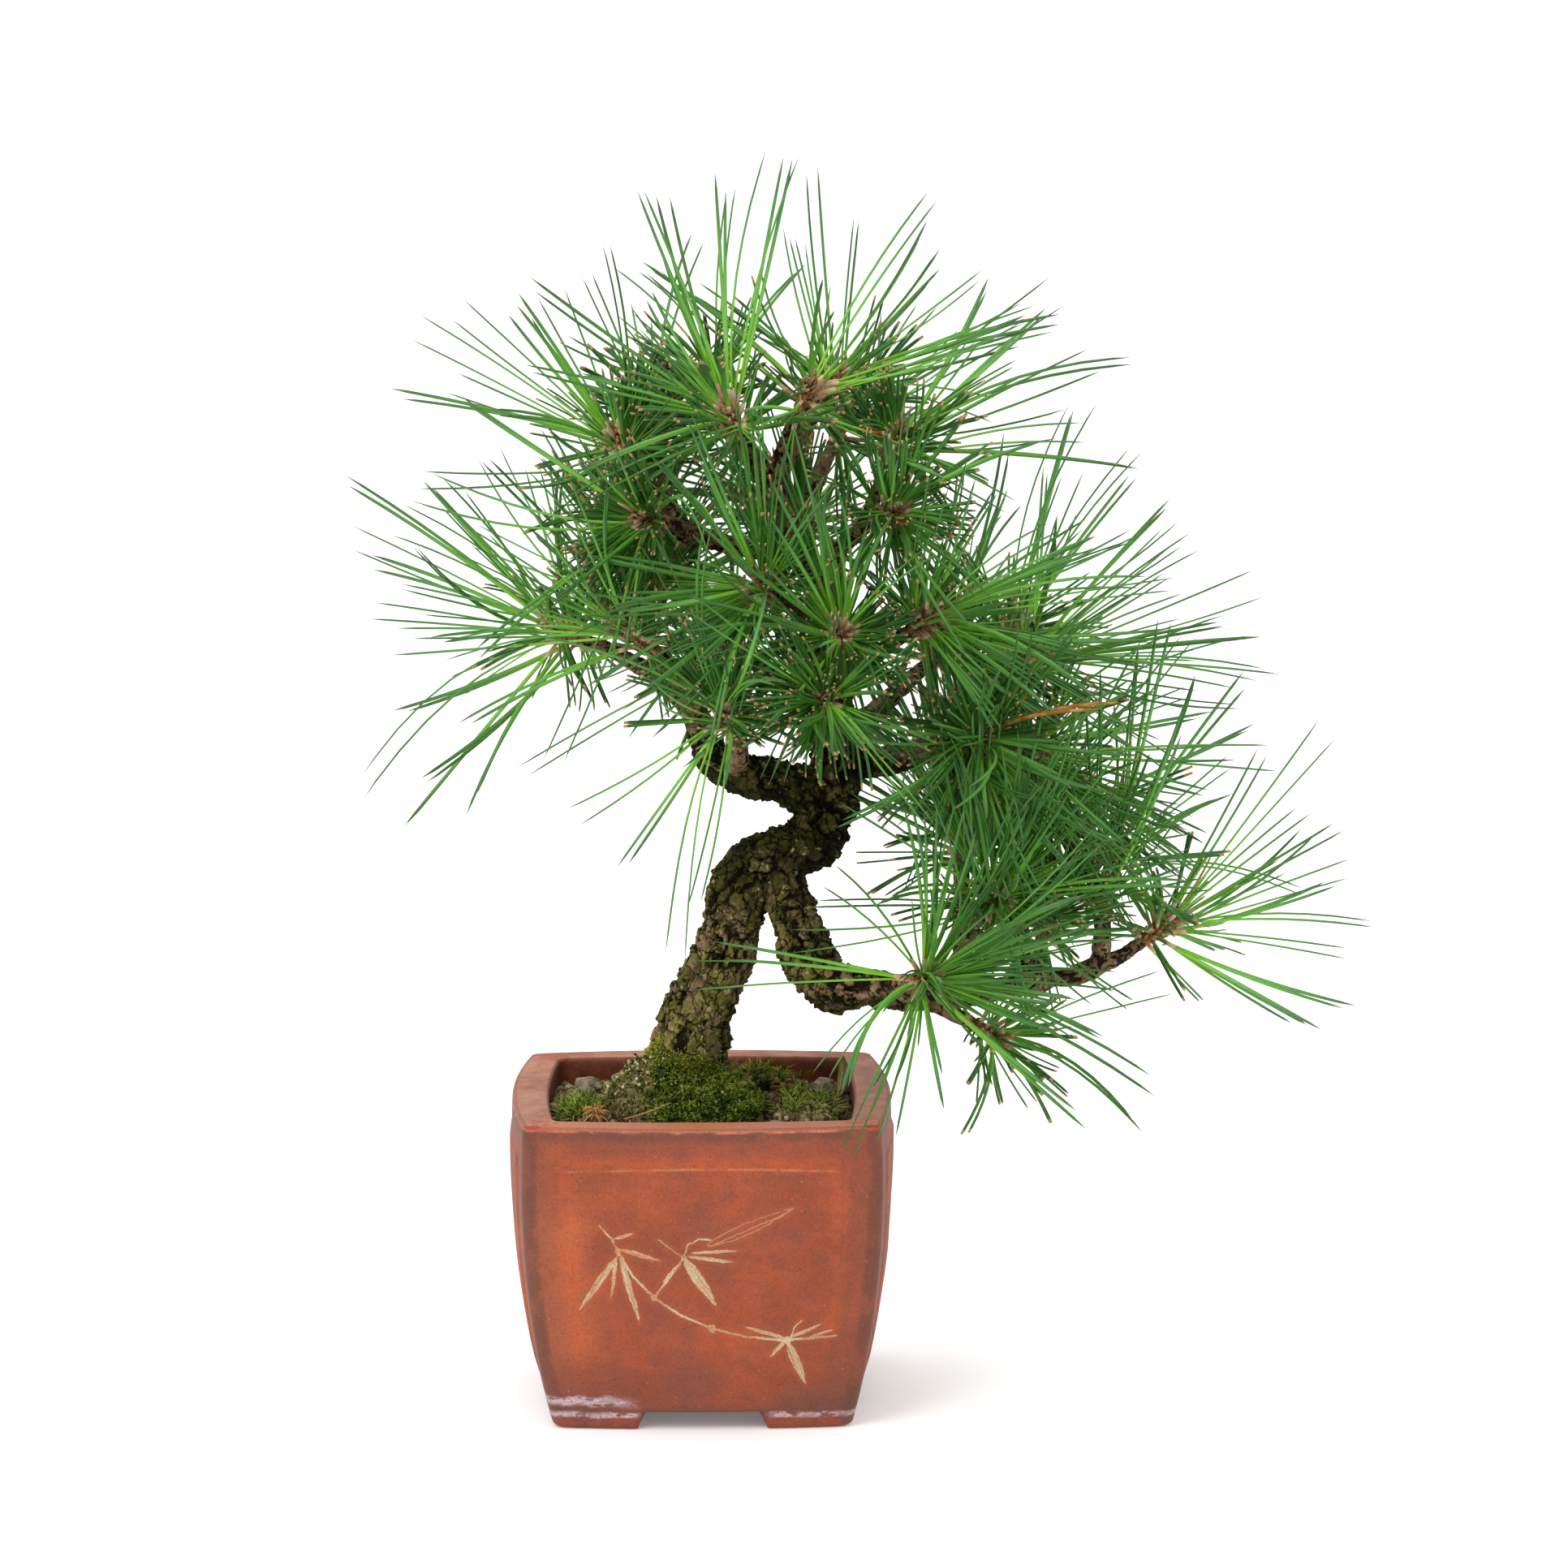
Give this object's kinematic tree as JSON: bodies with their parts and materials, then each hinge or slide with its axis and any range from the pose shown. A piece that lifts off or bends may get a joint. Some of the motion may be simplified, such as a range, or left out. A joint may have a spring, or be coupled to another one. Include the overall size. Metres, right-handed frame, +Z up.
{
  "type": "potted pine bonsai",
  "caption": "Small informal upright pine bonsai with a bent trunk and spiky needle tufts, growing in mossy soil in a square red clay pot on corner feet.",
  "frame": {"origin": "on the surface that the pot stands on, under the middle of the whole plant's extent", "axes": "+Z up; the pot's front, with the drawing, faces -Y; the low branch reaches towards +X"},
  "size_m": [0.3448, 0.2742, 0.414],
  "materials": {
    "red_clay": "matte",
    "bark": "matte",
    "needles": "satin",
    "soil": "matte",
    "pumice": "matte",
    "moss": "matte",
    "dry_leaf": "matte",
    "dry_sprout": "matte",
    "black_mesh": "matte",
    "aluminium_wire": "satin"
  },
  "bodies": {
    "root": {"pot": "red_clay", "trunk_and_branches": "bark", "needles_apex": "needles", "needles_apex_left": "needles", "needles_apex_left_back": "needles", "needles_apex_right_back": "needles", "needles_top_back": "needles", "needles_left_high": "needles", "needles_left_high_back": "needles", "needles_left_high_front": "needles", "needles_right_high": "needles", "needles_right_high_front": "needles", "needles_right_upper": "needles", "needles_centre_upper": "needles", "needles_centre_left": "needles", "needles_centre_front": "needles", "needles_left_low_front": "needles", "needles_left_low_tip": "needles", "needles_left_low": "needles", "needles_left_low_up": "needles", "needles_right_mid": "needles", "needles_right_mid_front": "needles", "needles_right_mid_back": "needles", "needles_right_mid_far": "needles", "needles_low_front": "needles", "needles_low_under": "needles", "needles_low_rise": "needles", "needles_low_rise_front": "needles", "needles_low_middle": "needles", "needles_low_middle_back": "needles", "needles_low_end": "needles", "needles_low_end_back": "needles", "needles_low_tip": "needles", "needles_back_left": "needles", "needles_back_right": "needles", "needles_back_high": "needles", "soil": "soil", "pumice_left_back": "pumice", "pumice_left_middle": "pumice", "pumice_left_rear": "pumice", "pumice_right_rear": "pumice", "pumice_right_front": "pumice", "moss_mound": "moss", "moss_right": "moss", "moss_left": "moss", "moss_back": "moss", "fallen_leaf": "dry_leaf", "dry_sprout": "dry_sprout", "drainage_mesh": "black_mesh", "mesh_staple": "aluminium_wire"}
  },
  "joints": []
}
